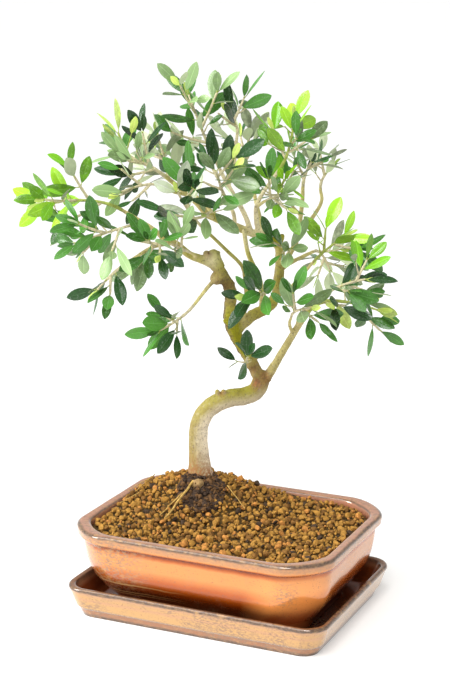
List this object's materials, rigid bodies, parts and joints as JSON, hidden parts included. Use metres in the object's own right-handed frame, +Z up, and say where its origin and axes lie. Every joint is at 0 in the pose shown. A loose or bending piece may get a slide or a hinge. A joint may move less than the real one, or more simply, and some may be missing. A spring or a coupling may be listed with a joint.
{
  "type": "olive bonsai",
  "caption": "Small olive tree trained as a bonsai, with an S-bent trunk, forked boughs and sprays of oval leaves, in a glazed rectangular pot on a drip tray.",
  "frame": {"origin": "middle of the drip tray's flat underside", "axes": "+Z up, +X along the pot's long side to the right as seen from the front, +Y to the back"},
  "size_m": [0.2663, 0.2561, 0.4018],
  "materials": {
    "pot_glaze": "gloss",
    "tray_glaze": "gloss",
    "clay_granules": "matte",
    "bark": "matte",
    "leaves": "satin"
  },
  "bodies": {
    "root": {"drip_tray": "tray_glaze", "pot": "pot_glaze", "soil": "clay_granules", "trunk": "bark", "leader": "bark", "right_bough": "bark", "left_bough": "bark", "left_high_bough": "bark", "left_low_bough": "bark", "left_mid_spur": "bark", "left_inner_spur": "bark", "droop_bough": "bark", "back_bough": "bark", "arch_bough": "bark", "upper_left_bough": "bark", "upper_left_spur": "bark", "mid_stem": "bark", "upright_left": "bark", "top_mid_bough": "bark", "upright_right": "bark", "upper_right_bough": "bark", "right_fork_bough": "bark", "right_inner_spur": "bark", "right_thin_bough": "bark", "right_mid_bough": "bark", "front_spur": "bark", "low_spur": "bark", "centre_spur": "bark", "inner_right_spur": "bark", "back_left_bough": "bark", "back_mid_bough": "bark", "back_right_bough": "bark", "left_tip_leaves": "leaves", "left_mid_leaves": "leaves", "left_inner_leaves": "leaves", "left_low_leaves": "leaves", "left_droop_leaves": "leaves", "upper_left_leaves": "leaves", "upper_left_low_leaves": "leaves", "upper_left_inner_leaves": "leaves", "top_left_leaves": "leaves", "top_mid_leaves": "leaves", "top_right_leaves": "leaves", "centre_leaves": "leaves", "inner_right_leaves": "leaves", "right_top_leaves": "leaves", "right_edge_leaves": "leaves", "right_bright_leaves": "leaves", "right_inner_leaves": "leaves", "right_mid_leaves": "leaves", "right_low_leaves": "leaves", "front_leaves": "leaves", "low_leaves": "leaves", "back_left_leaves": "leaves", "back_mid_leaves": "leaves", "back_right_leaves": "leaves", "arch_leaves": "leaves", "left_fore_leaves": "leaves", "right_fore_leaves": "leaves", "centre_right_leaves": "leaves"}
  },
  "joints": []
}
